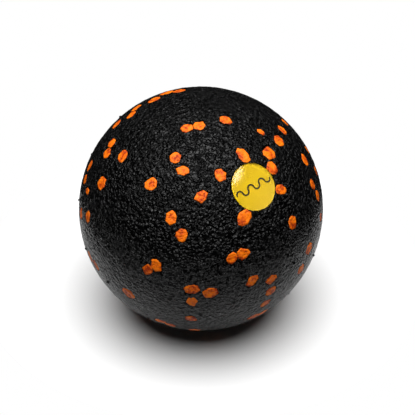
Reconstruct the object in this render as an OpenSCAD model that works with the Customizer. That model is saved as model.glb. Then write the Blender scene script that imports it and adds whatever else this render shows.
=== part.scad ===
// Bead-foam massage ball. Origin at the centre of the ball, +Z up, badge toward -Y.
// A place on the ball is given in degrees round from the front toward +X, and degrees up
// from the equator.

/* [Ball] */
// Diameter of the ball
ball_d = 80; // [76:1:90]

/* [Orange beads] */
// How deep a bead reaches below the skin
bead_depth = 3; // [2:0.5:4]
// Wall of black foam left between two orange beads that lie side by side
bead_gap = 0.1; // [0.05:0.05:0.3]

/* [Badge] */
// Diameter of the badge
badge_d = 14.5; // [13.5:0.1:15.5]
// Height of the badge on the ball, in degrees up
badge_up = 41.6; // [39.6:0.1:43.6]
// Place of the badge round the ball from straight front, in degrees
badge_round = -2.2; // [-4.2:0.1:-0.2]
// Distance from the ball's highest skin at the badge down to the flat floor of its seat
seat_depth = 1.8; // [1.6:0.1:2]
// Clearance between the badge and the wall of its seat
seat_clearance = 0.15; // [0.1:0.05:0.3]
// Thickness of the clear dome at its rim
dome_rim = 0.7; // [0.5:0.1:0.9]
// Rise of the clear dome from its rim to its middle
dome_rise = 0.9; // [0.6:0.1:1.2]

/* [Printed wave] */
// Radius to the middle of the line in each half ring of the wave
wave_r = 1.05; // [0.9:0.05:1.1]
// Width of the wave's line
wave_line = 0.5; // [0.4:0.05:0.7]
// Number of half rings in the wave
wave_rings = 6; // [4:1:6]
// Slope of the wave across the badge, in degrees
wave_slope = 10; // [0:5:45]

/* [Hidden] */
$fn = 180;
ball_r = ball_d / 2;
badge_r = badge_d / 2;
adhesive_t = 0.2;
film_t = 0.15;
ink_t = 0.1;
seat_floor = ball_r - seat_depth;
film_floor = seat_floor + adhesive_t;
dome_floor = film_floor + film_t;
dome_r = (badge_r * badge_r + dome_rise * dome_rise) / (2 * dome_rise);
past_skin = 2;
// The middle of the side that the hand-placed beads cover: degrees round, degrees up
placed_side = [-35, 36];
// The other side is covered by a spiral around the whole ball, of which it keeps the beads
// that lie at least this many degrees from that middle
spiral_from = 89;
spiral_count = 146;
spiral_step = 137.5;
// How far a spiral bead strays from its place: degrees round, degrees up
spiral_stray = [9, 7];
spiral_top = 84;
// Length and width of the spiral's beads, and how much each varies
spiral_size = [3.8, 3.23];
spiral_vary = [0.9, 0.8];
// Outline of a bead: least sides, kinds of side count, turn of a corner as a part of its step,
// least corner radius as a part of the bead's size, and how much that radius varies
outline_sides = 6;
outline_kinds = 3;
outline_turn = 0.5;
outline_r = 0.52;
outline_vary = 0.06;
// Steps of the sine that gives the repeatable numbers
chance_steps = [97.3, 41.7, 43.7];
// Turn of the body's sphere that brings its seam line between the beads
seam_turn = [0, -50, 185];
// Beads nearer than this between centres are cut apart along their middle plane
touch_dist = 5.2;
// The middle band of beads reaches this many degrees above and below the equator
band_up = 19.5;

// Beads of the badge side: degrees round, degrees up, length, width, lean of the length
placed_beads = [
    // around the top
    [-56, 73, 4.0, 2.9, 55], [-38, 75, 3.8, 3.4, 60], [12, 75, 3.9, 3.3, -20],
    [-177, 63, 4.6, 4.2, 0], [173, 68, 4.0, 4.2, 0], [-159, 63, 4.2, 4.6, 0],
    [-150, 55, 3.5, 3.6, 0], [-139, 55, 4.2, 3.4, 90], [-138, 46, 3.5, 4.2, 0],
    // upper left
    [-112, 41, 3.8, 3.4, 90], [-117, 45, 3.6, 3.3, 0], [-97, 47, 4.0, 3.5, -25],
    [-56, 57, 3.6, 3.3, 0], [-48, 52, 4.0, 2.9, 90], [-66, 43, 4.0, 3.6, 40],
    [-35, 41, 4.3, 3.1, 50], [-22, 50, 4.0, 3.3, 0], [-99, 31, 4.4, 4.0, 20],
    [-109, 21, 2.9, 2.2, 80], [-119, 21, 3.5, 3.0, 60], [-122, 27, 3.8, 3.0, 0],
    // round the badge
    [0, 56, 5.0, 3.3, -15], [21, 51, 4.7, 4.4, 20], [15, 45, 4.2, 4.0, -20],
    [13, 35, 4.3, 3.0, -60], [-13, 30, 5.0, 4.0, 50],
    // upper right
    [33, 60, 2.8, 2.0, -5], [39, 51, 4.0, 3.6, 90], [55, 50, 3.6, 3.3, 0],
    [72, 45, 3.0, 2.8, 0], [63, 30, 3.0, 2.6, 0], [47, 34, 3.9, 3.8, 0],
    [55, 22, 3.6, 3.0, 0], [40, 24, 3.9, 3.2, 0], [41, 17, 3.9, 3.0, 0],
    // round the middle
    [-50, 31, 4.1, 3.3, -12], [-44, 24, 3.9, 3.6, 20], [-101, 12, 4.1, 3.2, 10],
    [-111, 7, 4.2, 3.4, 0], [-59, 5, 3.8, 3.1, 20], [-55, 8, 4.4, 3.5, -15],
    [-21, 13, 3.8, 3.2, 40], [-16, 14, 4.3, 3.8, 80], [13, 19, 4.4, 3.4, 12],
    [40, 6, 3.2, 2.6, 0], [24, -1, 4.0, 3.9, 0], [19, -10, 4.0, 3.6, 0],
    [-2, -4, 4.2, 3.2, 85], [-1, -12, 3.8, 3.4, 60], [-12, -1, 4.6, 3.2, 40],
    [-31, -4, 4.8, 4.2, 85], [-39, -2, 4.5, 3.6, 90], [-39, -10, 3.8, 3.5, 0],
    [-71, -15, 4.7, 4.2, 92], [-94, -11, 3.9, 3.8, 0], [-100, -10, 4.2, 3.3, 0],
    // low down
    [-2, -21, 3.4, 3.2, 60], [-5, -33, 3.8, 3.8, 90], [1, -33, 4.2, 3.3, 90],
    [-40, -24, 4.2, 3.4, 100], [-58, -34, 3.7, 3.3, 90], [-53, -37, 3.7, 3.3, 90],
    [-39, -43, 3.6, 3.2, 90]
];

// A repeatable number from 0 to 1 for bead i, a new one for each k
function chance(i, k) = let (
    s = sin(i * chance_steps[0] + k * chance_steps[1]) * chance_steps[2]
) s - floor(s);

// Unit vector from the ball's centre to a place on it
function toward(round, up) = [sin(round) * cos(up), -cos(round) * cos(up), sin(up)];

function spiral_bead(i) = let (
    high = 1 - 2 * (i + 0.5) / spiral_count,
    up = asin(high) + spiral_stray[1] * (chance(i, 1) - 0.5),
    round = i * spiral_step + spiral_stray[0] * (chance(i, 2) - 0.5)
) [
    round % 360,
    min(spiral_top, max(-spiral_top, up)),
    spiral_size[0] + spiral_vary[0] * (chance(i, 3) - 0.5),
    spiral_size[1] + spiral_vary[1] * (chance(i, 4) - 0.5),
    180 * chance(i, 5)
];

spiral_beads = [
    for (i = [0:spiral_count - 1])
        let (b = spiral_bead(i))
            if (toward(b[0], b[1]) * toward(placed_side[0], placed_side[1]) < cos(spiral_from)) b
];

beads = concat(placed_beads, spiral_beads);
directions = [for (b = beads) toward(b[0], b[1])];

// Outline of bead i: a rough polygon of 6 to 8 sides, stretched to its length and width
function bead_outline(i) = let (
    n = outline_sides + floor(outline_kinds * chance(i, 6)),
    b = beads[i]
) [
    for (k = [0:n - 1]) let (
        a = (k + outline_turn * chance(i, 10 + k)) * 360 / n,
        r = outline_r + outline_vary * chance(i, 20 + k)
    ) [b[3] * r * sin(a), b[2] * r * cos(a)]
];

bands = ["upper", "middle", "lower"];
sides = ["front", "front_right", "right", "back_right", "back", "back_left", "left", "front_left"];
side_angle = 360 / len(sides);

function band_of(i) = beads[i][1] > band_up ? 0 : beads[i][1] < -band_up ? 2 : 1;
function side_of(i) = floor(((beads[i][0] + side_angle / 2 + 720) % 360) / side_angle);
function bead_node(band, side) = str("orange_beads_", bands[band], "_", sides[side]);

// Stands its children on the ball's skin: their +Z points outward, their +Y up the ball
module stand_on(round, up) {
    rotate([90 - up, 0, round]) children();
}

// Everything on bead j's side of the middle plane between beads i and j
module beyond_middle(i, j) {
    across = (directions[j] - directions[i]) / norm(directions[j] - directions[i]);
    rotate([0, acos(across.z), atan2(across.y, across.x)])
        translate([-ball_d, -ball_d, -bead_gap / 2])
            cube(2 * ball_d);
}

// Bead i as a straight-sided plug that runs out past the skin
module bead_plug(i) {
    difference() {
        stand_on(beads[i][0], beads[i][1])
            rotate([0, 0, -beads[i][4]])
                translate([0, 0, ball_r - bead_depth])
                    linear_extrude(bead_depth + past_skin)
                        polygon(bead_outline(i));
        for (j = [0:len(beads) - 1])
            if (j != i && ball_r * norm(directions[j] - directions[i]) < touch_dist)
                beyond_middle(i, j);
    }
}

// Room for the badge
module badge_seat() {
    stand_on(badge_round, badge_up)
        translate([0, 0, seat_floor])
            cylinder(r = badge_r + seat_clearance, h = seat_depth + past_skin);
}

module foam_body() {
    color("#1f1f21")
    difference() {
        rotate(seam_turn) sphere(r = ball_r);
        for (i = [0:len(beads) - 1]) bead_plug(i);
        badge_seat();
    }
}

module orange_beads(band, side) {
    color("#f0821e")
    for (i = [0:len(beads) - 1])
        if (band_of(i) == band && side_of(i) == side)
            difference() {
                intersection() {
                    sphere(r = ball_r);
                    bead_plug(i);
                }
                badge_seat();
            }
}

module badge_adhesive() {
    color("#d8d8d0")
    stand_on(badge_round, badge_up)
        translate([0, 0, seat_floor])
            cylinder(r = badge_r, h = adhesive_t);
}

module badge_film() {
    color("#f2cf18")
    stand_on(badge_round, badge_up)
        translate([0, 0, film_floor])
            cylinder(r = badge_r, h = film_t);
}

// One half ring of the wave, open toward -Y
module half_ring() {
    difference() {
        cylinder(r = wave_r + wave_line / 2, h = ink_t);
        translate([0, 0, -ink_t])
            cylinder(r = wave_r - wave_line / 2, h = 3 * ink_t);
        translate([-badge_r, -badge_d, -ink_t])
            cube([badge_d, badge_d, 3 * ink_t]);
    }
}

// The wave: half rings side by side, turned up and down in turn
module wave() {
    rotate([0, 0, wave_slope])
        for (k = [0:wave_rings - 1])
            translate([(2 * k + 1 - wave_rings) * wave_r, 0, 0])
                mirror([0, k % 2, 0])
                    half_ring();
}

module badge_print() {
    color("#241c10")
    stand_on(badge_round, badge_up)
        translate([0, 0, dome_floor])
            wave();
}

module badge_dome() {
    color("#fff6c0")
    stand_on(badge_round, badge_up)
        translate([0, 0, dome_floor])
            difference() {
                intersection() {
                    cylinder(r = badge_r, h = dome_rim + dome_rise);
                    translate([0, 0, dome_rim + dome_rise - dome_r])
                        sphere(r = dome_r);
                }
                wave();
            }
}

foam_body();
for (band = [0:len(bands) - 1]) for (side = [0:len(sides) - 1])
    orange_beads(band, side);
badge_adhesive();
badge_film();
badge_print();
badge_dome();
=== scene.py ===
import math
import random

import bpy
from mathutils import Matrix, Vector
from mathutils.kdtree import KDTree


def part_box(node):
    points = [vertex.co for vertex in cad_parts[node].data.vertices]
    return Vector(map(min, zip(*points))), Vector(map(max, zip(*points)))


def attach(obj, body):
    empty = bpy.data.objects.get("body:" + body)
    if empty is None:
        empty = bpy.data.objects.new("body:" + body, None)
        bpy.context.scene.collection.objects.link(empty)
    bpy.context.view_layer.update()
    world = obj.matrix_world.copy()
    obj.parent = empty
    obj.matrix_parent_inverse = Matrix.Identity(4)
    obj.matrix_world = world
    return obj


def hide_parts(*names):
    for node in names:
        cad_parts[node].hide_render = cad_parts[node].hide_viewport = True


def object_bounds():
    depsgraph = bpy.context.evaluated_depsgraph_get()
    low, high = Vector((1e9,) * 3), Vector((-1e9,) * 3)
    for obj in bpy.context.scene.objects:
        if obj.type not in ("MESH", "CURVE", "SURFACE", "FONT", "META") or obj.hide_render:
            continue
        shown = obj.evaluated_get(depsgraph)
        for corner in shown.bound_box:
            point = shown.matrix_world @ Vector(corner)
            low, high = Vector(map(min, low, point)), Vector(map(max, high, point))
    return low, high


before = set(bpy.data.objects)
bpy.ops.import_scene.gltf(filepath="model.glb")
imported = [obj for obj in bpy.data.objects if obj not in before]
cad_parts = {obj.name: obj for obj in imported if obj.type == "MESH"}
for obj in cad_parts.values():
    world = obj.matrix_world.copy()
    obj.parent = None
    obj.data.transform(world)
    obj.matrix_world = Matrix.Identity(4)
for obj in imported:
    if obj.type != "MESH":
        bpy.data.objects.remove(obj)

mm = 0.001
samePoint = 0.001 * mm  # points nearer than this are one point
cadLow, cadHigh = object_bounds()
beadNodes = [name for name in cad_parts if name.startswith("orange_beads")]
ballR = (cadHigh.x - cadLow.x) / 2


def enter(mode):
    bpy.ops.object.mode_set(mode=mode)


def deselectAll():
    if bpy.context.mode != "OBJECT":
        enter("OBJECT")
    bpy.ops.object.select_all(action="DESELECT")


def pick(*objects):
    deselectAll()
    for obj in objects:
        obj.select_set(True)
    bpy.context.view_layer.objects.active = objects[0]
    return objects[0]


def join(objects, name):
    made = pick(*objects)
    if len(objects) > 1:
        bpy.ops.object.join()
    made.name = made.data.name = name
    return made


def copyMesh(obj, name):
    copy = bpy.data.objects.new(name, obj.data.copy())
    bpy.context.scene.collection.objects.link(copy)
    copy.data.materials.clear()
    return copy


def placed(name):
    # the primitive just added keeps its place in its mesh
    made = bpy.context.object
    made.name = made.data.name = name
    bpy.ops.object.transform_apply(location=True, rotation=True, scale=True)
    return made


def edit(obj, selectMode):
    pick(obj)
    enter("EDIT")
    bpy.ops.mesh.select_mode(type=selectMode)


def onAll(operator, **settings):
    # one operator on the whole mesh that is being edited
    bpy.ops.mesh.select_all(action="SELECT")
    operator(**settings)


def selectFaces(obj, wanted):
    # selects the faces for which wanted(face) is true, and stays in edit mode
    edit(obj, "FACE")
    bpy.ops.mesh.select_all(action="DESELECT")
    enter("OBJECT")
    for face in obj.data.polygons:
        face.select = wanted(face)
    enter("EDIT")


def boolean(target, tool, operation):
    change = target.modifiers.new(operation, "BOOLEAN")
    change.operation = operation
    change.solver = "MANIFOLD"
    change.object = tool
    pick(target)
    bpy.ops.object.modifier_apply(modifier=change.name)


def turnTo(axis):
    # angles that bring +Z onto an axis
    return Vector((0, 0, 1)).rotation_difference(axis).to_euler()


def towards(degreesRound, degreesUp):
    # a direction, in degrees round from the front toward +X, and degrees up
    across, up = math.radians(degreesRound), math.radians(degreesUp)
    level = math.cos(up)
    return Vector((math.sin(across) * level, -math.cos(across) * level, math.sin(up)))


view = {
    "round": -35,  # where the camera stands, in degrees round and degrees up
    "up": 36,
    "distance": 400 * mm,
    "lens": 105.4,
    "shift": (0.0158, 0.0025),
}
light = {
    "distance": 3.0,
    "radius": 1.73,
    "lean": 8,  # degrees from straight overhead toward the camera
    "power": 274,
    "room": 0.02,  # how bright the room is that the ball mirrors
    "far": 1.0,  # how bright the camera sees what lies past the floor
}


def stand(name, data, axis, distance):
    # stands out along an axis from the ball's middle and looks back at it
    made = bpy.data.objects.new(name, data)
    bpy.context.scene.collection.objects.link(made)
    made.location = axis * distance
    made.rotation_euler = axis.to_track_quat("Z", "Y").to_euler()
    return made


lensData = bpy.data.cameras.new("camera")
lensData.lens = view["lens"]
lensData.shift_x, lensData.shift_y = view["shift"]
cameraAxis = towards(view["round"], view["up"])
bpy.context.scene.camera = stand("camera", lensData, cameraAxis, view["distance"])
bpy.context.scene.view_settings.view_transform = "Standard"

lampData = bpy.data.lights.new("softbox", "AREA")
lampData.shape = "DISK"
lampData.size = 2 * light["radius"]
lampData.energy = light["power"]
stand("softbox", lampData, towards(view["round"], 90 - light["lean"]), light["distance"])


class Value:
    # a socket that sums can be written with
    def __init__(self, finish, socket):
        self.finish = finish
        self.socket = socket

    def __add__(self, other):
        return self.finish.math("ADD", self, other)

    def __radd__(self, other):
        return self.finish.math("ADD", other, self)

    def __sub__(self, other):
        return self.finish.math("SUBTRACT", self, other)

    def __rsub__(self, other):
        return self.finish.math("SUBTRACT", other, self)

    def __mul__(self, other):
        return self.finish.math("MULTIPLY", self, other)

    def __rmul__(self, other):
        return self.finish.math("MULTIPLY", other, self)


class Finish:
    def __init__(self, name, **constants):
        self.material = bpy.data.materials.new(name)
        self.material.use_nodes = True
        self.tree = self.material.node_tree
        self.shader = self.tree.nodes["Principled BSDF"]
        for socket, value in constants.items():
            self.shader.inputs[socket.replace("_", " ")].default_value = value
        self.place = self.node("ShaderNodeTexCoord", {}, {}, "Object")

    def node(self, kind, settings, inputs, output=0):
        made = self.tree.nodes.new(kind)
        for key, value in settings.items():
            setattr(made, key, value)
        for key, value in inputs.items():
            if isinstance(value, Value):
                self.tree.links.new(value.socket, made.inputs[key])
            else:
                made.inputs[key].default_value = value
        return Value(self, made.outputs[output])

    def math(self, operation, first, second):
        return self.node("ShaderNodeMath", {"operation": operation}, {0: first, 1: second})

    def feed(self, socket, value):
        self.tree.links.new(value.socket, self.shader.inputs[socket])

    def noise(self, size, detail=2.0, rough=0.5):
        # soft spots about this many metres across, from 0 to 1
        inputs = {"Vector": self.place, "Scale": 1 / size, "Detail": detail, "Roughness": rough}
        return self.node("ShaderNodeTexNoise", {}, inputs)

    def cells(self, size):
        # distance from the middles of cells about this many metres across
        inputs = {"Vector": self.place, "Scale": 1 / size}
        return self.node("ShaderNodeTexVoronoi", {}, inputs, "Distance")

    def smooth(self, value, low, high, toLow=0.0, toHigh=1.0):
        inputs = {"Value": value, "From Min": low, "From Max": high}
        inputs.update({"To Min": toLow, "To Max": toHigh})
        return self.node("ShaderNodeMapRange", {"interpolation_type": "SMOOTHSTEP"}, inputs)

    def blend(self, mask, first, second):
        # one colour where the mask is 0, the other where it is 1
        inputs = {0: mask, 6: first, 7: second}
        return self.node("ShaderNodeMix", {"data_type": "RGBA"}, inputs, 2)

    def gloss(self, noise, atLow, atHigh):
        # the roughness goes between two values over the middle of a noise
        self.feed("Roughness", self.smooth(noise, 0.3, 0.7, atLow, atHigh))

    def bump(self, height, depth):
        inputs = {"Height": height, "Distance": depth, "Strength": 1.0}
        self.feed("Normal", self.node("ShaderNodeBump", {}, inputs))


def paint(obj, finish):
    obj.data.materials.clear()
    obj.data.materials.append(finish.material)


foamSkin = {"IOR": 1.24, "Specular_IOR_Level": 0.6}
blackLook = {
    "pebble": 1.2 * mm,
    "crease": 1.25 * mm,
    "grain": 0.4 * mm,
    "patch": 6 * mm,
    # dark: painted shade in the creases between pebbles; light: painted light on the pebble tops
    "dark": (0.0003, 0.0003, 0.0003, 1),
    "light": (0.0038, 0.0038, 0.004, 1),
    "roughness": (0.22, 0.3),
    "relief": 0.8 * mm,
}
orangeLook = {
    "grain": 0.7 * mm,
    "patch": 2.2 * mm,
    # painted shade in the pits of the beads' surface
    "pits": (0.26, 0.022, 0.001, 1),
    "red": (0.60, 0.085, 0.001, 1),
    "sunny": (0.78, 0.16, 0.001, 1),
    "roughness": (0.65, 0.4),
    "relief": 0.45 * mm,
}
tapeLook = {
    "grain": 0.5 * mm,
    "dull": (0.55, 0.54, 0.5, 1),
    "light": (0.7, 0.7, 0.66, 1),
    "relief": 0.05 * mm,
}
filmLook = {
    "grain": 0.8 * mm,
    "deep": (0.85, 0.58, 0.001, 1),
    "light": (0.89, 0.63, 0.002, 1),
    "roughness": (0.3, 0.4),
}
inkLook = {
    "grain": 0.3 * mm,
    "dark": (0.012, 0.008, 0.003, 1),
    "light": (0.03, 0.02, 0.006, 1),
    "roughness": (0.4, 0.55),
}
resinLook = {
    "tint": (1, 0.98, 0.8, 1),
    "bend": 1.49,
    "ripple": 5 * mm,
    "roughness": (0.12, 0.2),
    "relief": 0.02 * mm,
}


def blackFoam():
    foam = Finish("blackFoam", **foamSkin)
    pebbles = 1 - foam.smooth(foam.cells(blackLook["pebble"]), 0.05, 0.65)
    creases = foam.smooth(foam.noise(blackLook["crease"], rough=0.6), 0.42, 0.58)
    grain = foam.noise(blackLook["grain"], rough=0.6)
    patches = foam.noise(blackLook["patch"])
    height = pebbles * 0.5 + creases * 0.5 + grain * 0.2
    # the base colour is painted darker where the relief is low and lighter where it is high:
    # painted shade in the creases and painted light on the pebble tops
    paintedReliefShade = foam.smooth(height, 0.45, 1.0)
    foam.feed("Base Color", foam.blend(paintedReliefShade, blackLook["dark"], blackLook["light"]))
    foam.gloss(patches, *blackLook["roughness"])
    foam.bump(height, blackLook["relief"])
    return foam


def orangeFoam():
    foam = Finish("orangeFoam", **foamSkin)
    grain = foam.noise(orangeLook["grain"], detail=3.0, rough=0.6)
    patches = foam.noise(orangeLook["patch"])
    # the base colour is painted dark red where the grain relief is low: painted shade in the
    # pits, spread unevenly by the patches
    outOfPitShade = foam.smooth(grain * 0.5 + patches * 0.5, 0.38, 0.50)
    sun = foam.smooth(patches, 0.35, 0.65)
    bright = foam.blend(sun, orangeLook["red"], orangeLook["sunny"])
    foam.feed("Base Color", foam.blend(outOfPitShade, orangeLook["pits"], bright))
    foam.gloss(grain, *orangeLook["roughness"])
    foam.bump(grain, orangeLook["relief"])
    return foam


def whiteTape():
    white = Finish("whiteTape", Roughness=0.7)
    grain = white.noise(tapeLook["grain"])
    white.feed("Base Color", white.blend(grain, tapeLook["dull"], tapeLook["light"]))
    white.bump(grain, tapeLook["relief"])
    return white


def yellowFilm():
    film = Finish("yellowFilm")
    grain = film.noise(filmLook["grain"], detail=3.0)
    film.feed("Base Color", film.blend(grain, filmLook["deep"], filmLook["light"]))
    film.gloss(grain, *filmLook["roughness"])
    return film


def brownInk():
    ink = Finish("brownInk")
    grain = ink.noise(inkLook["grain"])
    ink.feed("Base Color", ink.blend(grain, inkLook["dark"], inkLook["light"]))
    ink.gloss(grain, *inkLook["roughness"])
    return ink


def clearResin():
    tint, bend = resinLook["tint"], resinLook["bend"]
    resin = Finish("clearResin", Transmission_Weight=1.0, IOR=bend, Base_Color=tint)
    ripple = resin.noise(resinLook["ripple"], detail=1.0)
    resin.gloss(ripple, *resinLook["roughness"])
    resin.bump(ripple, resinLook["relief"])
    return resin


floor = {
    "radius": 79 * mm,
    "front": 58 * mm,  # how far it reaches in front of the ball's middle
    "sides": 96,
    "grey": 0.57,
    "lighter": 1.02,  # how many times lighter its light patches are
    "patch": 0.4,
}


def paleFloor():
    pale = Finish("paleFloor", Roughness=0.7)
    low, high = floor["grey"], floor["lighter"] * floor["grey"]
    patches = pale.noise(floor["patch"])
    pale.feed("Base Color", pale.blend(patches, (low, low, low, 1), (high, high, high, 1)))
    return pale


# a small round table that ends a little in front of the ball, so the ball mirrors the dim room
ahead = towards(view["round"], 0) * (floor["front"] - floor["radius"])
bpy.ops.mesh.primitive_circle_add(
    vertices=floor["sides"],
    radius=floor["radius"],
    fill_type="NGON",
    location=(ahead.x, ahead.y, cadLow.z),
)
ground = placed("floor")
paint(ground, paleFloor())

# the room is dim for the ball and pale for the camera
world = bpy.data.worlds.new("room")
bpy.context.scene.world = world
world.use_nodes = True
nodes, links = world.node_tree.nodes, world.node_tree.links
room, seen = nodes["Background"], nodes.new("ShaderNodeBackground")
for background, strength in ((room, light["room"]), (seen, light["far"])):
    background.inputs["Strength"].default_value = strength
    background.inputs["Color"].default_value = (1, 1, 1, 1)
which, mixed = nodes.new("ShaderNodeLightPath"), nodes.new("ShaderNodeMixShader")
links.new(which.outputs["Is Camera Ray"], mixed.inputs[0])
links.new(room.outputs[0], mixed.inputs[1])
links.new(seen.outputs[0], mixed.inputs[2])
links.new(mixed.outputs[0], nodes["World Output"].inputs["Surface"])
print("scene: camera, floor and light are set")

# body and beads are cut from this skin
skin = {
    "fineness": 8,
    "pebble": 1.15 * mm,
    "pebbleHeight": 0.16 * mm,
    "swell": 5 * mm,
    "swellHeight": 0.12 * mm,
    "smoothAngle": math.radians(60),
}


def skinSphere():
    deselectAll()
    bpy.ops.mesh.primitive_ico_sphere_add(subdivisions=skin["fineness"], radius=ballR)
    ball = placed("skin")
    for name, pattern in (("pebble", "VORONOI"), ("swell", "CLOUDS")):
        relief = ball.modifiers.new(name, "DISPLACE")
        relief.texture = bpy.data.textures.new(name, pattern)
        relief.texture.noise_scale = skin[name]
        relief.texture_coords = "LOCAL"
        relief.strength = skin[name + "Height"]
        relief.mid_level = 0.5
        bpy.ops.object.modifier_apply(modifier=relief.name)
    return ball


bead = {
    "skinDepth": 0.1 * mm,  # an outline's points lie no deeper than this
    "sliver": 0.05 * mm,  # sides shorter than this are closed up first
    "flat": math.radians(14),  # faces and sides that turn less than this become one
    "shortest": 0.6 * mm,  # shorter sides of an outline are closed up
    "corner": 20,  # rounding of a corner, as a percentage of its sides
    "rough": 0.24 * mm,  # how far a corner strays
    "apart": 0.7 * mm,  # a corner nearer than this to another bead stays in place
    "depth": 3.0 * mm,
    "proud": 1.0 * mm,  # how far a cutter reaches outside the skin
    "groove": 0.13 * mm,
    "grooveSkin": 0.3 * mm,  # only edges no deeper than this sink into a groove
    "sharp": math.radians(35),  # an edge that turns more than this sinks into a groove
    "seed": 4,
}


def beadOutlines():
    # the CAD beads' own outlines: one face for each bead, where it meets the skin
    copies = [copyMesh(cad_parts[name], name) for name in beadNodes]
    caps = join(copies, "beadCutters")
    edit(caps, "VERT")
    onAll(bpy.ops.mesh.customdata_custom_splitnormals_clear)
    bpy.ops.mesh.remove_doubles(threshold=samePoint)
    enter("OBJECT")
    spots = caps.data.vertices
    under = ballR - bead["skinDepth"]
    selectFaces(caps, lambda face: min(spots[i].co.length for i in face.vertices) < under)
    bpy.ops.mesh.delete(type="FACE")
    onAll(bpy.ops.mesh.dissolve_degenerate, threshold=bead["sliver"])
    onAll(bpy.ops.mesh.dissolve_limited, angle_limit=bead["flat"])
    onAll(bpy.ops.mesh.dissolve_degenerate, threshold=bead["shortest"])
    enter("OBJECT")
    return caps


def strayCorners(caps):
    # each side gets a corner in its middle, then the corners stray, except beside another bead,
    # where only a thin wall stands between
    enter("EDIT")
    bpy.ops.mesh.select_mode(type="EDGE")
    bpy.ops.mesh.subdivide(number_cuts=1)
    enter("OBJECT")
    spots = caps.data.vertices
    tree = KDTree(len(spots))
    owner = {}
    for face in caps.data.polygons:
        for i in face.vertices:
            owner[i] = face.index
            tree.insert(spots[i].co, i)
    tree.balance()
    for part in (caps.data.polygons, caps.data.edges, spots):
        for item in part:
            item.select = False
    for spot in spots:
        near = tree.find_range(spot.co, bead["apart"])
        spot.select = all(owner[i] == owner[spot.index] for _, i, _ in near)
    enter("EDIT")
    bpy.ops.mesh.select_mode(type="VERT")
    bpy.ops.transform.vertex_random(offset=bead["rough"], seed=bead["seed"])
    rounding = {"affect": "VERTICES", "offset_type": "PERCENT", "offset_pct": bead["corner"]}
    onAll(bpy.ops.mesh.bevel, segments=2, **rounding)


def beadCutters():
    caps = beadOutlines()
    strayCorners(caps)
    # the outlines become closed plugs through the skin
    onAll(bpy.ops.mesh.flip_normals)
    bpy.ops.transform.shrink_fatten(value=-bead["proud"])
    bpy.ops.mesh.extrude_region_shrink_fatten(
        TRANSFORM_OT_shrink_fatten={"value": bead["proud"] + bead["depth"]}
    )
    onAll(bpy.ops.mesh.normals_make_consistent, inside=False)
    enter("OBJECT")
    return caps


def sinkEdges(obj):
    # the sharp edges in the skin sink toward the ball's middle, which leaves a groove
    edit(obj, "EDGE")
    bpy.ops.mesh.select_all(action="DESELECT")
    bpy.ops.mesh.edges_select_sharp(sharpness=bead["sharp"])
    enter("OBJECT")
    spots = obj.data.vertices
    under = ballR - bead["grooveSkin"]
    for edge in obj.data.edges:
        if edge.select:
            edge.select = min(spots[i].co.length for i in edge.vertices) > under
    for spot in spots:
        spot.select = False
    for edge in obj.data.edges:
        if edge.select:
            for i in edge.vertices:
                spots[i].select = True
    enter("EDIT")
    bpy.ops.mesh.select_mode(type="VERT")
    scale = 1 - bead["groove"] / ballR
    bpy.ops.transform.resize(value=(scale, scale, scale), center_override=(0, 0, 0))
    enter("OBJECT")


badge = {
    "radius": 7.25 * mm,
    "clearance": 0.15 * mm,
    "tape": 0.2 * mm,  # thickness of the adhesive
    "film": 0.15 * mm,
    "rim": 0.7 * mm,
    "rise": 0.9 * mm,
    "edge": 0.3 * mm,  # rounding of the dome's edge
    "edgeSteps": 5,
    "rings": 14,  # rings in the dome's top
    "smoothAngle": math.radians(50),
    "sides": 128,
    "overlap": 0.02 * mm,  # how far the dome sinks into the film, so that no gap shows
    "past": 2 * mm,  # how far the seat's cutter reaches outside the skin
    "room": 1 * mm,  # no vent nub's middle is nearer to the badge than this
}


def middle(node):
    low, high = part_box(node)
    return (low + high) / 2


badgeAxis = middle("badge_adhesive").normalized()
seatFloor = middle("badge_adhesive").length - badge["tape"] / 2
tapeTop = seatFloor + badge["tape"]
domeFloor = middle("badge_film").length + badge["film"] / 2


def disc(name, radius, low, high):
    # a round block that stands on the badge's axis
    deselectAll()
    bpy.ops.mesh.primitive_cylinder_add(
        vertices=badge["sides"],
        radius=radius,
        depth=high - low,
        location=badgeAxis * (low + high) / 2,
        rotation=turnTo(badgeAxis),
    )
    return placed(name)


def dome():
    wall = domeFloor + badge["rim"] - badge["edge"]
    piece = disc("badgeDome", badge["radius"], domeFloor - badge["overlap"], wall)
    justUnder = wall - 10 * samePoint
    selectFaces(piece, lambda face: face.center.dot(badgeAxis) > justUnder)
    # the edge rounds over, then the top rises to its middle
    steps = badge["edgeSteps"]
    for k in range(steps):
        a, b = math.pi / 2 * k / steps, math.pi / 2 * (k + 1) / steps
        bpy.ops.mesh.inset(
            thickness=badge["edge"] * (math.cos(a) - math.cos(b)),
            depth=badge["edge"] * (math.sin(b) - math.sin(a)),
        )
    top = badge["radius"] - badge["edge"]
    span = badge["rings"] + 0.5
    for k in range(badge["rings"]):
        a, b = k / span, (k + 1) / span
        rise = badge["rise"] * (b * (2 - b) - a * (2 - a))
        bpy.ops.mesh.inset(thickness=top * (b - a), depth=rise)
    enter("OBJECT")
    bpy.ops.object.shade_smooth_by_angle(angle=badge["smoothAngle"])
    return piece


# the mould leaves small vent nubs and a faint ring on the skin
nubs = {
    "count": 84,
    "width": 1.0 * mm,
    "height": 0.4 * mm,
    "sunk": 0.08 * mm,  # how far a nub's middle lies under the skin
    "sides": 14,
    "rings": 8,
    "step": 137.508,  # degrees round from one nub to the next, before they stray
    "stray": 6,  # degrees
    "clear": 2.9 * mm,  # no nub is nearer than this to a bead's middle
    "lowest": -80,  # degrees up, so that none is where the ball stands
    "seed": 11,
}
ring = {
    "round": -22,
    "up": 66,
    "radius": 20 * mm,
    "line": 0.11 * mm,
    "steps": 240,
    "sides": 8,
}


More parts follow.
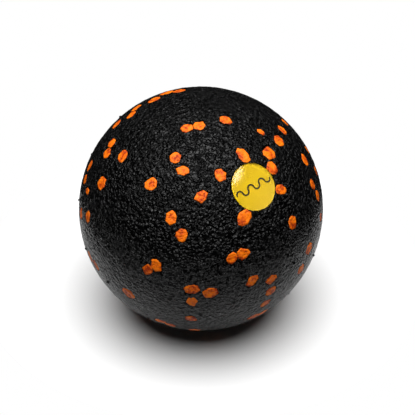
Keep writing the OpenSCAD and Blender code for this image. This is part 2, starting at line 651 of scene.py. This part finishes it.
def ventNubs(taken):
    chance = random.Random(nubs["seed"])
    made = []
    for i in range(nubs["count"]):
        up = math.degrees(math.asin(1 - 2 * (i + 0.5) / nubs["count"]))
        axis = towards(
            i * nubs["step"] + chance.uniform(-1, 1) * nubs["stray"],
            up + chance.uniform(-1, 1) * nubs["stray"],
        )
        spot = axis * ballR
        if up < nubs["lowest"] or any((spot - other).length < room for other, room in taken):
            continue
        deselectAll()
        bpy.ops.mesh.primitive_uv_sphere_add(
            segments=nubs["sides"],
            ring_count=nubs["rings"],
            radius=nubs["width"] / 2,
            location=axis * (ballR - nubs["sunk"]),
            rotation=turnTo(axis),
            scale=(1, 1, 2 * (nubs["height"] + nubs["sunk"]) / nubs["width"]),
        )
        made.append(placed("nub"))
    print("scene:", len(made), "vent nubs")
    return join(made, "nubs")


def mouldRing():
    axis = towards(ring["round"], ring["up"])
    deselectAll()
    bpy.ops.mesh.primitive_torus_add(
        major_radius=ring["radius"],
        minor_radius=ring["line"],
        major_segments=ring["steps"],
        minor_segments=ring["sides"],
        location=axis * math.sqrt(ballR ** 2 - ring["radius"] ** 2),
        rotation=turnTo(axis),
    )
    return placed("ringTool")


def loosePartMiddles(obj):
    # the middle of each loose part, by walking its edges
    neighbours = {}
    for edge in obj.data.edges:
        a, b = edge.vertices
        neighbours.setdefault(a, []).append(b)
        neighbours.setdefault(b, []).append(a)
    walked, middles = set(), []
    for start in range(len(obj.data.vertices)):
        if start in walked:
            continue
        walked.add(start)
        part, front = [], [start]
        while front:
            here = front.pop()
            part.append(obj.data.vertices[here].co)
            for other in neighbours.get(here, ()):
                if other not in walked:
                    walked.add(other)
                    front.append(other)
        middles.append(sum(part, Vector()) / len(part))
    return middles


def dress(piece, finish, node):
    paint(piece, finish)
    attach(piece, "root")
    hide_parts(node)


def nodeDirections(name):
    # which way each bead of a CAD node lies from the ball's middle
    copy = copyMesh(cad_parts[name], "measured")
    edit(copy, "VERT")
    onAll(bpy.ops.mesh.remove_doubles, threshold=samePoint)
    enter("OBJECT")
    directions = [spot.normalized() for spot in loosePartMiddles(copy)]
    bpy.data.objects.remove(copy)
    return directions


def nearestNode(part, directions):
    spots = part.data.vertices
    heart = (sum((spot.co for spot in spots), Vector()) / len(spots)).normalized()
    return min(directions, key=lambda name: min((heart - way).length for way in directions[name]))


ballSkin = skinSphere()
print("scene: skin has", len(ballSkin.data.polygons), "faces")
cutters = beadCutters()
centres = loosePartMiddles(cutters)
print("scene:", len(centres), "bead outlines")

seat = disc("seat", badge["radius"] + badge["clearance"], seatFloor, ballR + badge["past"])
foamBody = copyMesh(ballSkin, "foamBody")
beads = copyMesh(ballSkin, "orangeBeads")
boolean(foamBody, cutters, "DIFFERENCE")
boolean(foamBody, seat, "DIFFERENCE")
boolean(beads, cutters, "INTERSECT")
boolean(beads, seat, "DIFFERENCE")
sinkEdges(foamBody)
sinkEdges(beads)
print("scene: pockets, beads and the badge's seat are cut")

taken = [(centre.normalized() * ballR, nubs["clear"]) for centre in centres]
taken.append((badgeAxis * ballR, badge["radius"] + badge["room"]))
nubParts = ventNubs(taken)
boolean(foamBody, nubParts, "UNION")
ringTool = mouldRing()
boolean(foamBody, ringTool, "DIFFERENCE")
for tool in (cutters, seat, nubParts, ringTool, ballSkin):
    bpy.data.objects.remove(tool)

black, orange = blackFoam(), orangeFoam()
pick(foamBody)
bpy.ops.object.shade_smooth_by_angle(angle=skin["smoothAngle"])
dress(foamBody, black, "foam_body")
print("scene: foam body has", len(foamBody.data.polygons), "faces")

# the beads go to the piece whose CAD node they came from
pick(beads)
enter("EDIT")
bpy.ops.mesh.separate(type="LOOSE")
enter("OBJECT")
loose = list(bpy.context.selected_objects)
directions = {name: nodeDirections(name) for name in beadNodes}
groups = {name: [] for name in beadNodes}
for part in loose:
    groups[nearestNode(part, directions)].append(part)
for name, parts in groups.items():
    words = name.split("_")
    piece = join(parts, words[0] + "".join(word.capitalize() for word in words[1:]))
    bpy.ops.object.shade_smooth_by_angle(angle=skin["smoothAngle"])
    dress(piece, orange, name)
print("scene:", len(loose), "orange beads in", len(groups), "pieces")

adhesive = disc("badgeTape", badge["radius"], seatFloor, tapeTop)
dress(adhesive, whiteTape(), "badge_adhesive")
film = disc("badgeFilm", badge["radius"], tapeTop, domeFloor)
dress(film, yellowFilm(), "badge_film")
dress(dome(), clearResin(), "badge_dome")
ink = brownInk()
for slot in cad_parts["badge_print"].material_slots:
    slot.material = ink.material
print("scene: badge is built")
